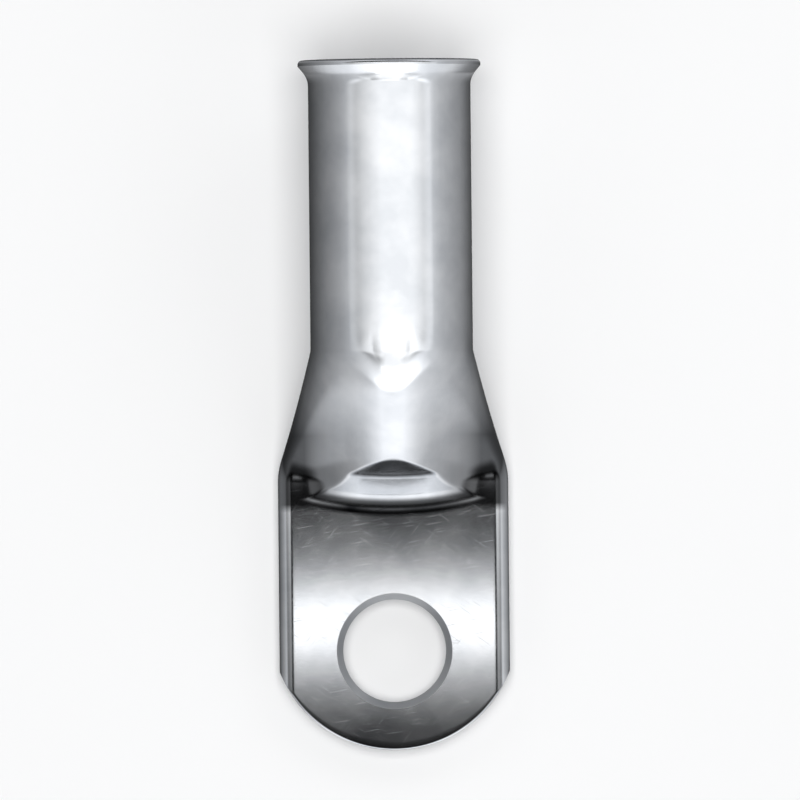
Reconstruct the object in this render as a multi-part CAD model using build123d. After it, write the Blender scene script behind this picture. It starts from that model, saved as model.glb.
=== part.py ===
from build123d import *
import os
from math import cos, pi, radians, sin, sqrt, tan

# A cable lug made from one length of copper tube: the mouth is flared, the other end is
# pressed flat into a palm with a stepped front face, cropped round and punched for a stud.
# Millimetres. The origin is the stud hole's centre on the contact face. +Y runs along the
# tube to its mouth, and +Z from the contact face to the stepped front face.

# Tube
tube_diameter = 16.5
wall = 1.5
barrel_length = 29.5  # from the neck to the mouth

# Flared mouth
flare_height = 1.05  # how far the rim stands out of the tube
flare_angle = 40.0  # degrees, away from the tube's line
flare_bend = 2.2  # radius of the bend on the outside
lip_land = 0.6  # straight band round the rim
lip_break = 0.35  # bevel on both edges of the rim

# Palm, measured from the stud hole's centre
palm_width = 23.5
palm_length = 18.45  # to the shoulders, where the neck's taper meets the sides
palm_end = 10.1  # to the tip of the cropped end
side_end = 2.05  # how far the straight sides run past the hole towards the tip
end_break = 0.25  # bevel of the cropped edge
stud_hole_diameter = 10.5
front_break = 0.6  # countersunk edge of the stud hole on the front face
back_break = 0.3

# Neck, where the round tube spreads into the palm
neck_length = 12.15
side_from = -65.0  # degrees on the round tube, between which its wall becomes a folded side
side_to = 20.0
shoulder_round = 8.6  # radius between the taper and the palm's sides
crest_ease = 5.0  # length over which the crest bends down out of the barrel
crest_foot = 2.1  # height of the crest's line over the palm where the neck ends
crest_power = 1.4  # how narrow the crest is drawn in at the palm's end
pressed_gap = 0.2  # gap left inside the fold where the walls close
closing = 1.2  # distance from the crease at which the walls meet
fold_overlap = 0.5  # how far the neck runs past the crease into the palm
outer_strips = 24  # strips along the neck, each ruled from section to section
inner_strips = 12

# Step, the pressed face between neck and palm
step_offset = 4.35  # from the shoulders to the crease on the centre line
step_angle = 50.0  # of the ramp that rises from the crease
step_fillet = 2.5
ramp_length = 2.3  # along the ramp's slope
head_angle = 68.0  # of the steeper head over the ramp, up to the crest
head_fillet = 3.0
crease_radius = 37.0
press_sweep = 120.0  # degrees of arc that the press tool spans

# Derived sizes and places
radius = tube_diameter / 2
flare_radius = radius + flare_height
palm_thickness = 2 * wall
half_palm = palm_width / 2
axis_height = flare_radius  # the flare's lowest point is level with the contact face
neck_y = palm_length + neck_length
mouth_y = neck_y + barrel_length
crease_y = palm_length - step_offset
taper_slope = (half_palm - radius) / neck_length
shoulder_length = shoulder_round * (sqrt(1 + taper_slope**2) - 1) / taper_slope
palm_start_y = crease_y - fold_overlap
tool_reach = 2 * (palm_end + palm_length + palm_width)  # far enough to clear the lug


def barrel():
    """Round tube with its flared mouth, from the neck to the rim."""
    turn = radians(flare_angle)
    bend_centre = radius + flare_bend
    outer_end = bend_centre - flare_bend * cos(turn)
    cone_length = (flare_radius - outer_end) / tan(turn)
    bend_y = mouth_y - lip_land - cone_length - flare_bend * sin(turn)

    def flare_curve(bend, last_y):
        """Line of one face of the wall, from the neck through the bend to last_y."""
        start = Vector(bend_centre - bend, bend_y)
        middle = Vector(bend_centre - bend * cos(turn / 2), bend_y + bend * sin(turn / 2))
        end = Vector(bend_centre - bend * cos(turn), bend_y + bend * sin(turn))
        last = Vector(end.X + (last_y - end.Y) * tan(turn), last_y)
        neck_point = Vector(start.X, neck_y)
        curve = Line(neck_point, start) + ThreePointArc(start, middle, end) + Line(end, last)
        return curve, neck_point, last

    outer_curve, outer_start, lip = flare_curve(flare_bend, mouth_y - lip_land)
    outside = outer_curve + Polyline(lip, (lip.X, mouth_y), (0, mouth_y), (0, neck_y), outer_start)
    inner_curve, inner_start, past_mouth = flare_curve(flare_bend + wall, mouth_y + flare_radius)
    inside = inner_curve + Polyline(past_mouth, (0, past_mouth.Y), (0, neck_y), inner_start)
    tube = revolve(make_face(outside), Axis.Y) - revolve(make_face(inside), Axis.Y)
    tube = chamfer(tube.edges().group_by(Axis.Y)[-1], lip_break)
    print("bore: radius", radius - wall, "from", neck_y, "to", round(bend_y, 3))
    return Pos(0, 0, axis_height) * tube


def flatness(y):
    """How far the section has gone from round tube (0) to flat palm (1) at y."""
    past = y - (palm_length - shoulder_length)
    if past <= 0:
        return 1.0
    if y < palm_length + shoulder_length / sqrt(1 + taper_slope**2):
        narrowing = shoulder_round - sqrt(shoulder_round**2 - past**2)
    else:
        narrowing = (y - palm_length) * taper_slope
    return 1 - narrowing / (half_palm - radius)


def crest(y, skin):
    """Height of the neck's centre line at y, on the outside or skin below it."""
    run = neck_y - palm_start_y - crest_ease / 2
    steepness = (axis_height + radius - palm_thickness - crest_foot) / run
    along = neck_y - y
    if along < crest_ease:
        drop, slope = along**2 / (2 * crest_ease), steepness * along / crest_ease
    else:
        drop, slope = along - crest_ease / 2, steepness
    return axis_height + radius - steepness * drop - skin * sqrt(1 + slope**2)


def neck_section(y, skin, pressed=False):
    """Closed section of the neck at y, skin inside the outer face, or that of the palm itself."""
    flat = flatness(y)
    edge = palm_thickness / 2 if skin == 0 else pressed_gap / 2
    tube = radius - skin
    flat_half = half_palm - skin - edge
    low, high = radians(side_from), radians(side_to)
    steps = 2  # spans of each side
    top_steps = 3  # spans of each half of the top

    def side(share):
        """Point and direction on the right side, from the bottom (0) to the top (1)."""
        turn = low + (high - low) * share
        fold = pi * (share - 0.5)
        round_point = Vector(tube * cos(turn), y, axis_height + tube * sin(turn))
        fold_point = Vector(flat_half + edge * cos(fold), y, palm_thickness / 2 + edge * sin(fold))
        round_way = Vector(-sin(turn), 0, cos(turn)) * tube * (high - low)
        fold_way = Vector(-sin(fold), 0, cos(fold)) * edge * pi
        point = round_point * (1 - flat) + fold_point * flat
        return point, round_way * (1 - flat) + fold_way * flat

    def top(share):
        """Point on the top, from the right side (1) over the crest (0) to the left side (-1)."""
        corner = side(1)[0]
        chord = tube * cos(high)
        rise = tube * (1 - sin(high))
        round_share = (sqrt(tube**2 - (chord * share) ** 2) - tube * sin(high)) / rise
        bell_share = ((1 + cos(pi * share)) / 2) ** crest_power
        lift = (1 - flat) * round_share + flat * bell_share
        return Vector(corner.X * share, y, corner.Z + (crest(y, skin) - corner.Z) * lift)

    def mirrored(vector):
        return Vector(-vector.X, vector.Y, vector.Z)

    side_shares = [k / steps for k in range(steps + 1)]
    top_shares = [k / (2 * top_steps) for k in range(2 * top_steps + 1)]
    right = [side(share)[0] for share in side_shares]
    left = [mirrored(point) for point in reversed(right)]
    over = [top(1 - 2 * share) for share in top_shares]
    right_in, right_out = side(0)[1], side(1)[1]
    left_in, left_out = mirrored(right_out) * -1, mirrored(right_in) * -1
    bottom_mid = (1 - flat) * (axis_height - tube) + flat * (palm_thickness / 2 - edge)
    if 0 < flat < 1:
        right_edge = Edge.make_spline(right, [right_in, right_out], parameters=side_shares)
        left_edge = Edge.make_spline(left, [left_in, left_out], parameters=side_shares)
    else:
        right_edge = ThreePointArc(right[0], right[steps // 2], right[-1])
        left_edge = ThreePointArc(left[0], left[steps // 2], left[-1])
    if pressed:
        top_edge = Line(over[0], over[-1])
    elif flat > 0:
        top_edge = Edge.make_spline(over, [right_out, left_in], parameters=top_shares)
    else:
        top_edge = ThreePointArc(over[0], over[top_steps], over[-1])
    if flat < 1:
        bottom_edge = ThreePointArc(left[-1], Vector(0, y, bottom_mid), right[0])
    else:
        bottom_edge = Line(left[-1], right[0])
    return Face(Wire([bottom_edge, right_edge, top_edge, left_edge]))


def neck_loft(skin):
    """Solid through the neck's sections, skin inside the outer face."""
    strips = outer_strips if skin == 0 else inner_strips
    round_end = palm_length - shoulder_length
    places = [neck_y + (round_end - neck_y) * k / strips for k in range(strips + 1)]
    return loft([neck_section(y, skin) for y in [*places, palm_start_y]], ruled=True)


def press(skin):
    """Space that the press takes over the step and the palm, skin below their face."""
    floor = palm_thickness - skin
    height = axis_height + flare_radius

    def climb(start, bend, first, last):
        """Hollow bend that climbs from one slope to the next, and its end."""
        centre = start + Vector(bend * sin(first), 0, bend * cos(first))
        slopes = (first + last) / 2, last
        middle, end = [centre - Vector(bend * sin(slope), 0, bend * cos(slope)) for slope in slopes]
        return ThreePointArc(start, middle, end), end

    ramp, head = radians(step_angle), radians(head_angle)
    foot = Vector(crease_radius, 0, floor)
    foot_bend, ramp_start = climb(foot, step_fillet + skin, 0, ramp)
    ramp_end = ramp_start + Vector(-cos(ramp), 0, sin(ramp)) * ramp_length
    head_bend, head_start = climb(ramp_end, head_fillet + skin, ramp, head)
    high = Vector(head_start.X - (height - head_start.Z) / tan(head), 0, height)
    outline = Line((tool_reach, 0, floor), foot) + foot_bend + Line(ramp_start, ramp_end)
    outline += head_bend + Polyline(head_start, high, (tool_reach, 0, height), (tool_reach, 0, floor))
    tool = revolve(make_face(outline), Axis.Z, revolution_arc=press_sweep)
    facing = Rot(0, 0, -90 - press_sweep / 2)  # its middle points along -Y
    return Pos(0, crease_y + crease_radius, 0) * facing * tool


def neck():
    """Spread neck with its pressed step, and the bore closing inside it."""
    outside = neck_loft(0) - press(0)
    open_part = Cylinder(crease_radius - closing, tool_reach)
    hollow = neck_loft(wall) & (Pos(0, crease_y + crease_radius, 0) * open_part)
    return outside - (hollow - press(wall))


def palm():
    """Flat palm with folded sides, a cropped round end and the stud hole."""
    section = neck_section(palm_start_y, 0, pressed=True)
    bar = extrude(section, amount=palm_start_y + tool_reach, dir=(0, -1, 0))

    drop = palm_end - side_end
    end_radius = (half_palm**2 + drop**2) / (2 * drop)
    over = 2 * palm_thickness
    inner = end_radius - end_break
    blade = Polyline(
        (0, -over),
        (inner, -over),
        (inner, 0),
        (end_radius, end_break),
        (end_radius, palm_thickness - end_break),
        (inner, palm_thickness),
        (inner, over),
        (0, over),
        (0, -over),
    )
    centre_y = end_radius - palm_end
    crop = Pos(0, centre_y, 0) * revolve(Plane.XZ * make_face(blade), Axis.Z)
    rest = Pos(0, centre_y + tool_reach / 2, 0) * Box(2 * palm_width, tool_reach, 4 * over)
    plate = bar & (crop + rest)

    hole = stud_hole_diameter / 2
    punch = Polyline(
        (0, -over),
        (hole + back_break + over, -over),
        (hole, back_break),
        (hole, palm_thickness - front_break),
        (hole + front_break + over, palm_thickness + over),
        (0, palm_thickness + over),
        (0, -over),
    )
    return plate - revolve(Plane.XZ * make_face(punch), Axis.Z)


lug = barrel() + neck() + palm()
os.makedirs("parts", exist_ok=True)
export_step(lug, "parts/cable_lug.step")
print("cable_lug: solids", len(lug.solids()), "volume mm3", round(lug.volume, 1))
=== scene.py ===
import bpy
import bmesh
from math import cos, hypot, pi, radians, sin, sqrt, tan
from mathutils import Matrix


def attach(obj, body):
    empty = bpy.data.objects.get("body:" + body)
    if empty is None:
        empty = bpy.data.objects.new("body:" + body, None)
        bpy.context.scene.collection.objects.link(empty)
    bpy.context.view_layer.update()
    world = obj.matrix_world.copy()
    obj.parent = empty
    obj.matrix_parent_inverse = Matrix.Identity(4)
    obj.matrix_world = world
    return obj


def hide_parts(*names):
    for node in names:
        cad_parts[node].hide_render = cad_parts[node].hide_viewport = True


# A cable lug pressed from one length of copper tube and tinned all over, lying on its contact face.
# Lengths in the dictionaries are millimetres; the objects are in metres, in the frame of the CAD.

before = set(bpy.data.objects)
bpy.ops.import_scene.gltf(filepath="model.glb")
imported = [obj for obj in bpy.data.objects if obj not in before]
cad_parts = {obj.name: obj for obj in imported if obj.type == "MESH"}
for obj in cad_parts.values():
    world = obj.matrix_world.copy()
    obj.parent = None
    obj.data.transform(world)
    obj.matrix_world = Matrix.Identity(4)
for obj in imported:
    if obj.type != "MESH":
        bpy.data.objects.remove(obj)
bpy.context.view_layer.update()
mm = 0.001


def linear(code):
    # sRGB hex to linear RGBA.
    parts = [int(code[k:k + 2], 16) / 255 for k in (0, 2, 4)]
    return [c / 12.92 if c < 0.04045 else ((c + 0.055) / 1.055) ** 2.4 for c in parts] + [1.0]


def addNode(tree, kind, inputs={}, give=0, **settings):
    # Adds a node. An input is a value or another node's socket, and the output asked for is given back.
    made = tree.nodes.new(kind)
    for name, value in settings.items():
        setattr(made, name, value)
    for name, value in inputs.items():
        if isinstance(value, bpy.types.NodeSocket):
            tree.links.new(value, made.inputs[name])
        else:
            made.inputs[name].default_value = value
    return made.outputs[give]


lug = dict(
    tube=8.25, wall=1.5, neckEnd=30.6, mouth=60.09,
    flareOut=1.04, flareTurn=radians(40), flareBend=2.2, lipLand=0.6, lipRound=0.4,
    halfPalm=11.74, palmLength=18.45, palmTip=10.09, sideEnd=2.05, endBreak=0.25, cropFrom=-0.4,
    shoulderRound=8.6, crestEase=5.0, crestFoot=2.1, crestPower=1.4, foldGap=0.1, closing=1.2, closedAt=1.55,
    creaseY=14.1, creaseRadius=37.0, pressedFrom=13.6, pressedTo=29.6,
    rampBend=2.5, ramp=radians(50), rampLength=2.3, headBend=3.0, head=radians(68),
    edgeSoft=0.22,  # how far the pressed edge of the step is rounded off
    hole=5.25, frontBreak=0.6, backBreak=0.3, smoothUnder=radians(32),
)
# points along the top, the underside and each side of a section, where the sides begin and end on the tube,
# and how many rings each stretch gets
grid = dict(
    top=80, side=20, low=radians(-65), high=radians(20),
    closing=5, hollow=34, barrel=8, flareInside=10, flareOutside=8, lipInside=5, lipOutside=6, outside=9,
    neck=30, stepFrom=19.8, step=60, palmYs=(12.4, 11.0, 9.6, 8.2, 6.8, 4.0, 1.0),
    crop=(0.0, 0.2, 0.4, 0.6, 0.8, 0.93), endBreak=5, hole=160, merge=0.0001,
)

axisHeight = lug["tube"] + lug["flareOut"]
thickness = 2 * lug["wall"]
slope = (lug["halfPalm"] - lug["tube"]) / (lug["neckEnd"] - lug["palmLength"])
shoulder = lug["shoulderRound"] * (sqrt(1 + slope ** 2) - 1) / slope
flatFrom = lug["palmLength"] - shoulder
pressY = lug["creaseY"] + lug["creaseRadius"]

# the places round a section: along the bottom, up the right side, over the top, down the left side
places = [("bottom", 2 * k / grid["top"] - 1) for k in range(grid["top"])]
places += [("right", k / grid["side"]) for k in range(grid["side"])]
places += [("top", 1 - 2 * k / grid["top"]) for k in range(grid["top"])]
places += [("left", 1 - k / grid["side"]) for k in range(grid["side"])]


def flatness(y):
    # How far the section has gone from round tube (0) to flat palm (1).
    past = y - flatFrom
    if past <= 0:
        return 1.0
    if y < lug["palmLength"] + shoulder / sqrt(1 + slope ** 2):
        narrowing = lug["shoulderRound"] - sqrt(lug["shoulderRound"] ** 2 - past ** 2)
    else:
        narrowing = (y - lug["palmLength"]) * slope
    return max(0.0, 1 - narrowing / (lug["halfPalm"] - lug["tube"]))


def crest(y, skin):
    # Height of the centre line of the top.
    run = lug["neckEnd"] - lug["pressedFrom"] - lug["crestEase"] / 2
    steep = (axisHeight + lug["tube"] - thickness - lug["crestFoot"]) / run
    along = max(0.0, lug["neckEnd"] - y)
    if along < lug["crestEase"]:
        drop, tilt = along ** 2 / (2 * lug["crestEase"]), steep * along / lug["crestEase"]
    else:
        drop, tilt = along - lug["crestEase"] / 2, steep
    return axisHeight + lug["tube"] - steep * drop - skin * sqrt(1 + tilt ** 2)


def pressed(x, y, skin):
    # Height of the press tool's face over a point, and how steep it is there, 0 to 1.
    inward = lug["creaseRadius"] - hypot(x, y - pressY)
    z = thickness - skin
    low, high = lug["rampBend"] + skin, lug["headBend"] + skin
    ramp, head = lug["ramp"], lug["head"]
    rampFrom = low * sin(ramp)
    if inward <= 0:
        return z, 0.0
    if inward < rampFrom:
        return z + low - sqrt(low ** 2 - inward ** 2), inward / rampFrom
    z += low * (1 - cos(ramp))
    rampTo = rampFrom + lug["rampLength"] * cos(ramp)
    if inward < rampTo:
        return z + (inward - rampFrom) * tan(ramp), 1.0
    z += lug["rampLength"] * sin(ramp)
    headFrom = rampTo + high * (sin(head) - sin(ramp))
    if inward < headFrom:
        past = inward - rampTo + high * sin(ramp)
        return z + high * cos(ramp) - sqrt(high ** 2 - past ** 2), 1.0
    z += high * (cos(ramp) - cos(head))
    return z + (inward - headFrom) * tan(head), 1.0


def sectionPoint(place, y, skin, tube):
    # x and z of one place of the section at y, skin under the outer face.
    part, share = place
    flat = flatness(y)
    edge = thickness / 2 if skin == 0 else lug["foldGap"]
    flatHalf = lug["halfPalm"] - skin - edge
    low, high = grid["low"], grid["high"]

    def side(at):
        turn = low + (high - low) * at
        fold = pi * (at - 0.5)
        x = tube * cos(turn) * (1 - flat) + (flatHalf + edge * cos(fold)) * flat
        z = (axisHeight + tube * sin(turn)) * (1 - flat) + (thickness / 2 + edge * sin(fold)) * flat
        return x, z

    if part == "right":
        return side(share)
    if part == "left":
        x, z = side(share)
        return -x, z
    if part == "bottom":
        cornerX, cornerZ = side(0)
        middle = (1 - flat) * (axisHeight - tube) + flat * (thickness / 2 - edge)
        rise = cornerZ - middle
        x = cornerX * share
        if rise < 1e-6:  # already flat
            return x, middle
        bow = (cornerX ** 2 + rise ** 2) / (2 * rise)
        return x, middle + bow - sqrt(bow ** 2 - x ** 2)
    cornerX, cornerZ = side(1)
    chord = tube * cos(high)
    arch = (sqrt(tube ** 2 - (chord * share) ** 2) - tube * sin(high)) / (tube * (1 - sin(high)))
    bell = ((1 + cos(pi * share)) / 2) ** lug["crestPower"]
    lift = (1 - flat) * arch + flat * bell
    if y < lug["pressedFrom"]:
        lift = 0.0
    top = crest(y, skin) if y < lug["neckEnd"] else axisHeight + tube
    return cornerX * share, cornerZ + (top - cornerZ) * lift


def surfacePoint(place, y, skin=0.0):
    # Point of the neck's or palm's face, after the press has come down on it.
    x, z = sectionPoint(place, y, skin, lug["tube"] - skin)
    if y < lug["pressedTo"]:
        face, steep = pressed(x, y, skin)
        # rounds the line where the two faces meet
        soft = max(lug["edgeSoft"] * steep - abs(z - face), 0.0)
        z = min(z, face) - (soft ** 2 / (4 * lug["edgeSoft"]) if soft > 0 else 0.0)
    return x * mm, y * mm, z * mm


def roundRing(tube, y):
    # Ring of a round part of the tube: past the neck's end every section is round.
    ring = []
    for place in places:
        x, z = sectionPoint(place, lug["neckEnd"] + 1, 0.0, tube)
        ring.append((x * mm, y * mm, z * mm))
    return ring


def flatX(place, skin):
    return sectionPoint(place, 0.0, skin, lug["tube"] - skin)[0]


def arcY(x, centre, reach):
    return centre - sqrt(reach ** 2 - x ** 2)


def lerp(a, b, t):
    return a + (b - a) * t


def innerRings():
    # From the closed end of the hollow out to the mouth.
    skin = lug["wall"]
    reach = lug["creaseRadius"] - lug["closing"]
    rings = []
    for k in range(grid["closing"] + 1):
        ys = [lerp(arcY(flatX(p, skin), pressY, reach), flatFrom, k / grid["closing"]) for p in places]
        rings.append([surfacePoint(p, y, skin) for p, y in zip(places, ys)])
    closed = [(x, y, lug["closedAt"] * mm) for x, y, z in rings[0]]
    for k in range(1, grid["hollow"] + 1):
        y = lerp(flatFrom, lug["neckEnd"], k / grid["hollow"])
        rings.append([surfacePoint(p, y, skin) for p in places])
    return [closed] + rings


def mouthProfile():
    # Radius and y of the flare, from the bore over the rim to the outside of the tube.
    turn, bend, wall = lug["flareTurn"], lug["flareBend"], lug["wall"]
    centre = lug["tube"] + bend
    rim = lug["tube"] + lug["flareOut"]
    land = lug["mouth"] - lug["lipLand"]
    bendY = land - (rim - centre + bend * cos(turn)) / tan(turn) - bend * sin(turn)
    inner = bend + wall
    barrel, inside, outside = grid["barrel"], grid["flareInside"], grid["flareOutside"]
    line = [(lug["tube"] - wall, lerp(lug["neckEnd"], bendY, k / barrel)) for k in range(1, barrel)]
    line += [(centre - inner * cos(turn * k / inside), bendY + inner * sin(turn * k / inside))
             for k in range(inside + 1)]
    lastR, lastY = line[-1]
    cornerR = lastR + (lug["mouth"] - lastY) * tan(turn)
    cut = lug["lipRound"]
    start = (cornerR - cut * sin(turn), lug["mouth"] - cut * cos(turn))
    end = (cornerR + cut, lug["mouth"])
    line.append(start)
    for k in range(1, grid["lipInside"] + 1):
        t = k / grid["lipInside"]
        line.append(tuple((1 - t) ** 2 * a + 2 * t * (1 - t) * b + t ** 2 * c
                          for a, b, c in zip(start, (cornerR, lug["mouth"]), end)))
    line.append(((cornerR + rim) / 2, lug["mouth"]))
    for k in range(grid["lipOutside"] + 1):
        lipTurn = radians(90) * k / grid["lipOutside"]
        line.append((rim - cut + cut * sin(lipTurn), lug["mouth"] - cut + cut * cos(lipTurn)))
    line.append((rim, land))
    line += [(centre - bend * cos(turn * k / outside), bendY + bend * sin(turn * k / outside))
             for k in range(outside, -1, -1)]
    line += [(lug["tube"], lerp(bendY, lug["neckEnd"], k / grid["outside"]))
             for k in range(1, grid["outside"])]
    return line


def outerRings():
    # From the end of the barrel over the step to the palm's tip.
    neck, step, stepFrom = grid["neck"], grid["step"], grid["stepFrom"]
    ys = [lerp(lug["neckEnd"], stepFrom, k / neck) for k in range(neck)]
    ys += [lerp(stepFrom, lug["pressedFrom"] - 0.1, k / step) for k in range(step + 1)]
    ys += grid["palmYs"]
    rings = [[surfacePoint(p, y) for p in places] for y in ys]
    drop = lug["palmTip"] - lug["sideEnd"]
    reach = (lug["halfPalm"] ** 2 + drop ** 2) / (2 * drop)
    centre = reach - lug["palmTip"]
    cut = lug["endBreak"]
    for share in grid["crop"]:
        ring = []
        for p in places:
            x, z = sectionPoint(p, 0.0, 0.0, lug["tube"])
            y = lerp(lug["cropFrom"], arcY(x, centre, reach - cut), share)
            ring.append((x * mm, y * mm, z * mm))
        rings.append(ring)
    for k in range(grid["endBreak"] + 1):
        turn = radians(90) * k / grid["endBreak"]
        ring = []
        for p in places:
            x, z = sectionPoint(p, 0.0, 0.0, lug["tube"])
            over = max(z - (thickness - cut), cut - z, 0.0)  # how deep the place is in the rounding
            back = cut * (1 - sin(turn))
            down = cut * (1 - cos(turn))
            if over <= 0:
                y, cutZ = arcY(x, centre, reach), z
            else:
                lost = max(down - (cut - over), 0.0)
                cutZ = z - lost if z > thickness / 2 else z + lost
                y = arcY(x, centre, reach - back * over / cut)
            ring.append((x * mm, y * mm, cutZ * mm))
        rings.append(ring)
    rings.append([(x, y, thickness / 2 * mm) for x, y, z in rings[-1]])
    return rings


def drawOut(name, rings):
    # A circle, drawn out ring by ring, each new ring shaped to its section.
    count = len(rings[0])
    bpy.ops.object.select_all(action="DESELECT")
    bpy.ops.mesh.primitive_circle_add(vertices=count, radius=lug["tube"] * mm, location=(0, 0, 0))
    piece = bpy.context.object
    piece.name = name
    bpy.ops.object.mode_set(mode="EDIT")
    bpy.ops.mesh.select_all(action="SELECT")
    mesh = bmesh.from_edit_mesh(piece.data)
    layer = mesh.verts.layers.int.new("place")
    for k, vert in enumerate(mesh.verts):
        vert[layer] = k
        vert.co = rings[0][k]
    bmesh.update_edit_mesh(piece.data)
    for ring in rings[1:]:
        bpy.ops.mesh.extrude_region_move()
        mesh = bmesh.from_edit_mesh(piece.data)
        layer = mesh.verts.layers.int["place"]
        for vert in mesh.verts:
            if vert.select:
                vert.co = ring[vert[layer]]
        bmesh.update_edit_mesh(piece.data)
    bpy.ops.mesh.select_all(action="SELECT")
    bpy.ops.mesh.remove_doubles(threshold=grid["merge"] * mm)
    bpy.ops.mesh.normals_make_consistent(inside=False)
    bpy.ops.object.mode_set(mode="OBJECT")
    piece.data.attributes.remove(piece.data.attributes["place"])
    return piece


def punchRings():
    # The stud hole's punch, with the broken edges on both faces, standing out 1 mm beyond each.
    hole, over, count = lug["hole"], 1.0, grid["hole"]
    line = [(0.0, -over), (hole + lug["backBreak"] + over, -over), (hole, lug["backBreak"]),
            (hole, thickness - lug["frontBreak"]), (hole + lug["frontBreak"] + over, thickness + over),
            (0.0, thickness + over)]
    return [[(r * cos(2 * pi * k / count) * mm, r * sin(2 * pi * k / count) * mm, z * mm)
             for k in range(count)] for r, z in line]


rings = innerRings() + [roundRing(r, y) for r, y in mouthProfile()] + outerRings()
body = drawOut("cable_lug_tinned", rings)
punch = drawOut("punch", punchRings())
bpy.ops.object.select_all(action="DESELECT")
bpy.context.view_layer.objects.active = body
body.select_set(True)
cut = body.modifiers.new("stud hole", "BOOLEAN")
cut.operation = "DIFFERENCE"
cut.solver = "EXACT"
cut.object = punch
bpy.ops.object.modifier_apply(modifier=cut.name)
bpy.data.objects.remove(punch)
bpy.ops.object.shade_smooth_by_angle(angle=lug["smoothUnder"])
print("lug: faces", len(body.data.polygons))

# Electro-tinned copper: a bright white metal with a faint satin bloom. Die lines run along the tube, the
# plating is finely grained and cloudy, and short marks come from the tumbling barrel. Painted shade darkens
# the base colour along the crease where the press folds the tube, over the top of the step and in the
# shoulders.
tin = dict(
    # the last colour is the dark colour of the painted shade, which also darkens the ring round the hole
    bright="e6e8eb", dull="d3d6da", paintedShade="1c1d1f",
    satin=0.15, cloudy=0.02,  # roughness, and how far it wanders
    cloudSize=5.0,  # mm across a patch of plating
    cloudSpan=(0.3, 0.7), toneSpan=(0.35, 0.65),  # swing of the noise that makes the whole change
    lineGap=0.35, lineLength=14.0,  # mm between die lines and along one
    grain=0.16, grainDepth=0.25,  # mm, drawn coarser than the plating's own few micrometres so that it shows
    scratchWidth=0.07, scratchLength=2.6, scratchTurns=(0.62, -0.95, 1.4),  # mm and radians
    scratchSpan=(0.74, 0.84), scratchDepth=0.4, scratchRough=0.05,
    relief=0.16, reliefDepth=0.02,  # strength of the bump and its depth, mm
    ringTo=5.9, ringEdge=0.05, ringRough=0.5, ringDarkening=0.35,  # broken edge of the hole, left matt by the tool and darker
)
# where the painted shade lies, as stops of place in mm and amount
paintedShade = dict(
    height=[(2.0, 0.0), (2.9, 1.0)],  # only on the upper side
    patchy=0.94,  # how much of it is left where the plating cloud is lowest
    crease=[(-0.5, 0.0), (-0.1, 1.0), (0.55, 1.0), (1.2, 0.0)],  # from the palm over the crease to the ramp
    creaseAcross=[(0, 1.0), (4.5, 1.0), (8.0, 0.85)],
    capY=19.45, capBow=0.158,  # top of the step at the centre line, and how it bends to the palm at the sides
    cap=[(-0.9, 0.0), (-0.5, 0.5), (0.0, 0.65), (0.25, 0.0)],
    capAcross=[(0, 1.0), (1.4, 1.0), (2.6, 0.3), (3.6, 0.0)],
    shoulderAcross=[(3.5, 0.0), (5.0, 0.25), (6.0, 0.52), (7.0, 0.7), (8.0, 0.82), (9.0, 0.93)],
    shoulderAlong=[(14.2, 0.0), (15.0, 1.0), (22.0, 1.0), (29.0, 0.0)],
)


def fade(tree, value, stops):
    # An amount that goes straight from stop to stop as a value grows.
    start, end = stops[0][0], stops[-1][0]
    place = addNode(tree, "ShaderNodeMapRange", {"Value": value, "From Min": start, "From Max": end})
    colour = addNode(tree, "ShaderNodeValToRGB", {"Fac": place})
    elements = colour.node.color_ramp.elements
    while len(elements) < len(stops):
        elements.new(0.5)
    for element, (at, amount) in zip(elements, stops):
        element.position = (at - start) / (end - start)
        element.color = (amount, amount, amount, 1.0)
    return colour


def paintedShadeAmount(tree, x, y, z, cloud):
    # Painted shade: the base colour darkens along the crease, over the top of the step and in the shoulders.
    offset = addNode(tree, "ShaderNodeMath", {0: x}, operation="ABSOLUTE")
    fromPress = addNode(tree, "ShaderNodeMath", {0: y, 1: pressY}, operation="SUBTRACT")
    level = addNode(tree, "ShaderNodeCombineXYZ", {0: x, 1: fromPress})
    reach = addNode(tree, "ShaderNodeVectorMath", {0: level}, give="Value", operation="LENGTH")
    inward = addNode(tree, "ShaderNodeMath", {0: lug["creaseRadius"], 1: reach}, operation="SUBTRACT")
    crease = addNode(tree, "ShaderNodeMath", {0: fade(tree, inward, paintedShade["crease"]),
                                              1: fade(tree, offset, paintedShade["creaseAcross"])},
                     operation="MULTIPLY")
    square = addNode(tree, "ShaderNodeMath", {0: x, 1: x}, operation="MULTIPLY")
    bowed = addNode(tree, "ShaderNodeMath", {0: square, 1: paintedShade["capBow"], 2: y}, operation="MULTIPLY_ADD")
    above = addNode(tree, "ShaderNodeMath", {0: bowed, 1: paintedShade["capY"]}, operation="SUBTRACT")
    cap = addNode(tree, "ShaderNodeMath", {0: fade(tree, above, paintedShade["cap"]),
                                           1: fade(tree, offset, paintedShade["capAcross"])},
                  operation="MULTIPLY")
    corner = addNode(tree, "ShaderNodeMath", {0: fade(tree, offset, paintedShade["shoulderAcross"]),
                                              1: fade(tree, y, paintedShade["shoulderAlong"])},
                     operation="MULTIPLY")
    dark = addNode(tree, "ShaderNodeMath", {0: crease, 1: cap}, operation="MAXIMUM")
    dark = addNode(tree, "ShaderNodeMath", {0: dark, 1: corner}, operation="MAXIMUM")
    dark = addNode(tree, "ShaderNodeMath", {0: dark, 1: fade(tree, z, paintedShade["height"])}, operation="MULTIPLY")
    least, most = tin["cloudSpan"]
    patches = fade(tree, cloud, [(least, paintedShade["patchy"]), (most, 1.0)])
    return addNode(tree, "ShaderNodeMath", {0: dark, 1: patches}, operation="MULTIPLY")


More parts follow.
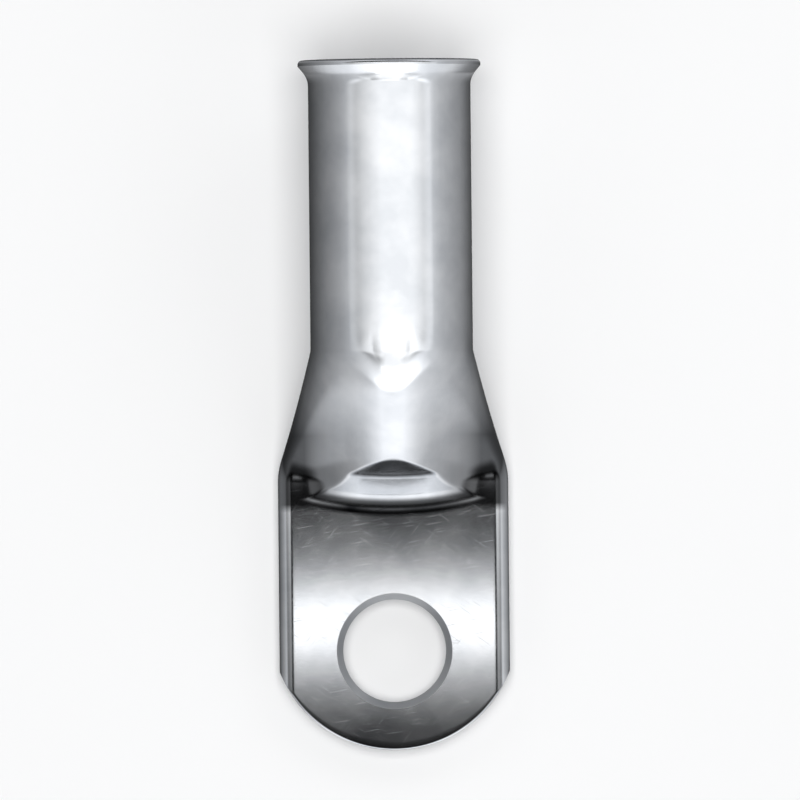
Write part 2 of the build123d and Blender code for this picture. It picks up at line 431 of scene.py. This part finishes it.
def tinnedCopper():
    material = bpy.data.materials.new("electro-tinned copper")
    material.use_nodes = True
    tree = material.node_tree
    shader = tree.nodes["Principled BSDF"]
    shader.inputs["Metallic"].default_value = 1.0
    place = addNode(tree, "ShaderNodeTexCoord", give="Object")
    inMm = addNode(tree, "ShaderNodeVectorMath", {0: place, "Scale": 1 / mm}, operation="SCALE")
    x, y, z = addNode(tree, "ShaderNodeSeparateXYZ", {0: inMm}).node.outputs

    def pattern(size, detail, turn=0.0):
        # size in mm along x, y and z, before the turn
        turned = addNode(tree, "ShaderNodeVectorRotate", {"Vector": inMm, "Angle": turn},
                         rotation_type="Z_AXIS")
        scaled = addNode(tree, "ShaderNodeMapping", {"Vector": turned, "Scale": [1 / s for s in size]})
        return addNode(tree, "ShaderNodeTexNoise", {"Vector": scaled, "Scale": 1.0, "Detail": detail})

    cloud = pattern((tin["cloudSize"],) * 3, 3.0)
    lines = pattern((tin["lineGap"], tin["lineLength"], tin["lineGap"]), 2.0)
    grain = pattern((tin["grain"],) * 3, 1.0)
    scratches = 0.0
    for turn in tin["scratchTurns"]:
        streak = pattern((tin["scratchWidth"], tin["scratchLength"], 1.0), 0.0, turn)
        mark = fade(tree, streak, list(zip(tin["scratchSpan"], (0.0, 1.0))))
        scratches = addNode(tree, "ShaderNodeMath", {0: scratches, 1: mark}, operation="ADD")

    # the matt, darker ring round the hole
    level = addNode(tree, "ShaderNodeCombineXYZ", {0: x, 1: y})
    radius = addNode(tree, "ShaderNodeVectorMath", {0: level}, give="Value", operation="LENGTH")
    edges = (tin["ringTo"] - tin["ringEdge"], tin["ringTo"] + tin["ringEdge"])
    ring = fade(tree, radius, list(zip(edges, (1.0, 0.0))))

    tone = fade(tree, cloud, list(zip(tin["toneSpan"], (0.0, 1.0))))
    colour = addNode(tree, "ShaderNodeMix", {0: tone, 6: linear(tin["dull"]), 7: linear(tin["bright"])},
                     give=2, data_type="RGBA")
    ringDarkening = addNode(tree, "ShaderNodeMath", {0: ring, 1: tin["ringDarkening"]}, operation="MULTIPLY")
    # painted shade in the crease, on the step's top and in the shoulders, and the darker hole ring, go into
    # the base colour
    dark = addNode(tree, "ShaderNodeMath", {0: paintedShadeAmount(tree, x, y, z, cloud), 1: ringDarkening},
                   operation="MAXIMUM")
    withPaintedShade = addNode(tree, "ShaderNodeMix", {0: dark, 6: colour, 7: linear(tin["paintedShade"])},
                      give=2, data_type="RGBA")
    tree.links.new(withPaintedShade, shader.inputs["Base Color"])

    roughness = (tin["satin"] - tin["cloudy"], tin["satin"] + tin["cloudy"])
    rough = addNode(tree, "ShaderNodeMath", {0: scratches, 1: tin["scratchRough"],
                                             2: fade(tree, cloud, list(zip(tin["cloudSpan"], roughness)))},
                    operation="MULTIPLY_ADD")
    ringRough = addNode(tree, "ShaderNodeMath", {0: ring, 1: tin["ringRough"]}, operation="MULTIPLY")
    rough = addNode(tree, "ShaderNodeMath", {0: rough, 1: ringRough}, operation="MAXIMUM")
    tree.links.new(rough, shader.inputs["Roughness"])

    height = addNode(tree, "ShaderNodeMath", {0: grain, 1: tin["grainDepth"], 2: lines},
                     operation="MULTIPLY_ADD")
    height = addNode(tree, "ShaderNodeMath", {0: scratches, 1: -tin["scratchDepth"], 2: height},
                     operation="MULTIPLY_ADD")
    bump = addNode(tree, "ShaderNodeBump", {"Strength": tin["relief"], "Distance": tin["reliefDepth"] * mm,
                                            "Height": height})
    tree.links.new(bump, shader.inputs["Normal"])
    return material


body.data.materials.clear()
body.data.materials.append(tinnedCopper())
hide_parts("cable_lug")
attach(body, "root")
print("tin: material done")

# plain white paper with no shine, its side in metres
paper = dict(side=6.0, colour="f6f6f6", rough=0.9)
bpy.ops.object.select_all(action="DESELECT")
bpy.ops.mesh.primitive_plane_add(size=paper["side"], location=(0, 0, 0))
floor = bpy.context.object
floor.name = "floor"
sheet = bpy.data.materials.new("white paper")
sheet.use_nodes = True
paperShader = sheet.node_tree.nodes["Principled BSDF"]
paperShader.inputs["Base Color"].default_value = linear(paper["colour"])
paperShader.inputs["Roughness"].default_value = paper["rough"]
floor.data.materials.append(sheet)
# the metal mirrors the dark lower walls instead, which gives the tube its dark edges
floor.visible_glossy = False
print("floor: laid")

# The studio's walls, far off. A place on them is given by the face that mirrors it straight up: how far its
# normal leans across the lug and along it towards the mouth, 0 for a level face and 1 for an upright one.
studio = dict(
    level=1.3, tint="fcfdff",
    # brightest a little to the right of overhead, with long falls to both sides
    side=[(-1.0, 0.03), (-0.86, 0.14), (-0.62, 0.32), (-0.37, 0.6), (-0.1, 1.0), (0.28, 1.0), (0.49, 0.64),
          (0.62, 0.45), (0.86, 0.25), (1.0, 0.05)],
    # beyond the palm's end, the same on both sides
    beyond=[(0.0, 1.0), (0.28, 0.98), (0.46, 0.78), (0.56, 0.58), (0.68, 0.22), (0.8, 0.1), (1.0, 0.04)],
    beyondFrom=-0.45, beyondFull=-0.58,
    guard=0.0001,  # keeps the division finite straight below
)
# Dark panels in front of the walls, the same on both sides of the lug: centre and half width as across and
# along, how dark, and the squared distance in half widths over which they fade.
panels = dict(
    top=dict(at=(0.0, 0.05), half=(0.45, 0.34), depth=0.98, soft=(0.8, 1.35)),
    front=dict(at=(0.0, -0.30), half=(0.40, 0.32), depth=0.88, soft=(0.1, 1.1)),
    mouth=dict(at=(0.0, 0.85), half=(0.8, 0.36), depth=0.88, soft=(0.4, 1.4)),
    foot=dict(at=(0.0, -1.05), half=(0.7, 0.2), depth=0.9, soft=(0.4, 1.4)),
)


def studioWorld():
    world = bpy.data.worlds.new("studio")
    world.use_nodes = True
    sky = world.node_tree
    direction = addNode(sky, "ShaderNodeTexCoord", give="Generated")
    dx, dy, dz = addNode(sky, "ShaderNodeSeparateXYZ", {"Vector": direction}).node.outputs
    # the face that mirrors direction d straight up leans by d / sqrt(2 + 2 dz)
    raised = addNode(sky, "ShaderNodeMath", {0: dz, 1: 2.0, 2: 2.0 + studio["guard"]},
                     operation="MULTIPLY_ADD")
    span = addNode(sky, "ShaderNodeMath", {0: raised}, operation="SQRT")
    across = addNode(sky, "ShaderNodeMath", {0: dx, 1: span}, operation="DIVIDE")
    along = addNode(sky, "ShaderNodeMath", {0: dy, 1: span}, operation="DIVIDE")
    either = addNode(sky, "ShaderNodeMath", {0: across}, operation="ABSOLUTE")
    far = addNode(sky, "ShaderNodeMapRange", {"Value": along, "From Min": studio["beyondFrom"],
                                              "From Max": studio["beyondFull"]},
                  interpolation_type="SMOOTHSTEP")
    wall = addNode(sky, "ShaderNodeMix", {0: far, 2: fade(sky, across, studio["side"]),
                                          3: fade(sky, either, studio["beyond"])}, data_type="FLOAT")
    light = addNode(sky, "ShaderNodeMath", {0: wall, 1: studio["level"]}, operation="MULTIPLY")
    for panel in panels.values():
        squares = []
        for lean, centre, half in zip((either, along), panel["at"], panel["half"]):
            off = addNode(sky, "ShaderNodeMath", {0: lean, 1: 1 / half, 2: -centre / half},
                          operation="MULTIPLY_ADD")
            squares.append(addNode(sky, "ShaderNodeMath", {0: off, 1: off}, operation="MULTIPLY"))
        away = addNode(sky, "ShaderNodeMath", {0: squares[0], 1: squares[1]}, operation="ADD")
        near, clear = panel["soft"]
        shade = addNode(sky, "ShaderNodeMapRange", {"Value": away, "From Min": near, "From Max": clear,
                                                    "To Min": 1 - panel["depth"]},
                        interpolation_type="SMOOTHSTEP")
        light = addNode(sky, "ShaderNodeMath", {0: light, 1: shade}, operation="MULTIPLY")
    sky.nodes["Background"].inputs["Color"].default_value = linear(studio["tint"])
    sky.links.new(light, sky.nodes["Background"].inputs["Strength"])
    return world


bpy.context.scene.world = studioWorld()
print("studio: world done")

# Soft boxes in mm and degrees: centre, the two sides, turn, brightness where 1 is white, over how much of the
# second side the box comes up from one end, and its share of that brightness over the first side, as stops
# from the middle. The metal mirrors all but overFloor, which alone lights the paper.
softBoxes = dict(
    overBarrel=dict(at=(0.0, 50.5, 90.0), size=(80.0, 51.0), turn=(0, 0, 0), bright=1.3, near=5.0,
                    fall=[(-40, 0.8), (-15, 1.0), (40, 1.0)]),
    overLeft=dict(at=(-95.0, 30.0, 90.0), size=(110.0, 92.0), turn=(0, 0, 0), bright=1.3, near=46.0,
                  fall=[(-55, 0.0), (0, 0.44), (23, 0.58), (55, 0.8)]),
    overRight=dict(at=(95.0, 30.0, 90.0), size=(110.0, 92.0), turn=(0, 0, 0), bright=1.3, near=46.0,
                   fall=[(-55, 1.0), (-47, 0.98), (-23, 0.82), (0, 0.64), (55, 0.0)]),
    overNeck=dict(at=(0.0, 23.4, 54.5), size=(44.0, 72.5), turn=(79.5, 0, 0), bright=1.3, near=1.5,
                  fall=[(-22, 0.0), (-18, 0.05), (-14, 0.2), (-10, 0.5), (-6, 1.0), (8, 1.0), (12, 0.7),
                        (17, 0.3), (22, 0.0)]),
    overBend=dict(at=(0.0, 25.3, 65.0), size=(80.0, 51.0), turn=(79.5, 0, 0), bright=0.85, near=10.0,
                  fall=[(-40, 0.45), (-28, 0.6), (-16, 0.9), (-11, 1.0), (-7, 0.0), (7, 0.0), (11, 1.0),
                        (20, 1.0), (28, 0.9), (40, 0.7)]),
    overPalm=dict(at=(0.0, -0.5, 45.0), size=(32.0, 30.0), turn=(0, 0, 90), bright=1.75, near=0.0,
                  fall=[(-16, 0.0), (-8, 0.01), (-6.2, 0.06), (-3.7, 0.2), (-0.5, 0.55), (0.3, 0.9),
                        (1, 1.0), (4.4, 1.0), (5.4, 0.7), (7.8, 0.32), (10.3, 0.12), (11.5, 0.07),
                        (13.9, 0.0)]),
    overFloor=dict(at=(0.0, 25.0, 700.0), size=(500.0, 500.0), turn=(0, 0, 0), bright=5.3, near=0.0,
                   fall=[]),
)


def hangBox(name, box):
    width, depth = (s * mm for s in box["size"])
    lamp = bpy.data.lights.new(name, "AREA")
    lamp.shape = "RECTANGLE"
    lamp.size, lamp.size_y = width, depth
    lamp.energy = box["bright"] * pi * width * depth  # a box so bright however large it is
    if box["fall"]:
        lamp.use_nodes = True
        cloth = lamp.node_tree
        face = addNode(cloth, "ShaderNodeNewGeometry", give="Parametric")
        side, end = addNode(cloth, "ShaderNodeSeparateXYZ", {"Vector": face}).node.outputs[:2]
        glow = fade(cloth, side, [(x / box["size"][0] + 0.5, amount) for x, amount in box["fall"]])
        if box["near"]:
            rise = fade(cloth, end, [(0.0, 0.0), (box["near"] / box["size"][1], 1.0)])
            glow = addNode(cloth, "ShaderNodeMath", {0: glow, 1: rise}, operation="MULTIPLY")
        cloth.links.new(glow, cloth.nodes["Emission"].inputs["Strength"])
    hung = bpy.data.objects.new(name, lamp)
    bpy.context.collection.objects.link(hung)
    hung.location = [c * mm for c in box["at"]]
    hung.rotation_euler = [radians(turn) for turn in box["turn"]]
    hung.visible_camera = False
    hung.visible_glossy = name != "overFloor"
    hung.visible_diffuse = name == "overFloor"


for name, box in softBoxes.items():
    hangBox(name, box)
print("lights:", len(softBoxes))

# straight over the lug as in the photograph: distance in metres, the rest in mm and radians
view = dict(distance=1.6, across=81.36, x=0.79, y=25.57, z=6.0, roll=radians(-0.56), sensor=36.0)
lens = bpy.data.cameras.new("camera")
lens.sensor_width = view["sensor"]
lens.lens = view["sensor"] * view["distance"] / (view["across"] * mm)
camera = bpy.data.objects.new("camera", lens)
bpy.context.collection.objects.link(camera)
camera.location = (view["x"] * mm, view["y"] * mm, view["z"] * mm + view["distance"])
camera.rotation_euler = (0, 0, view["roll"])
bpy.context.scene.camera = camera
bpy.context.scene.view_settings.view_transform = "Standard"
print("camera: set")
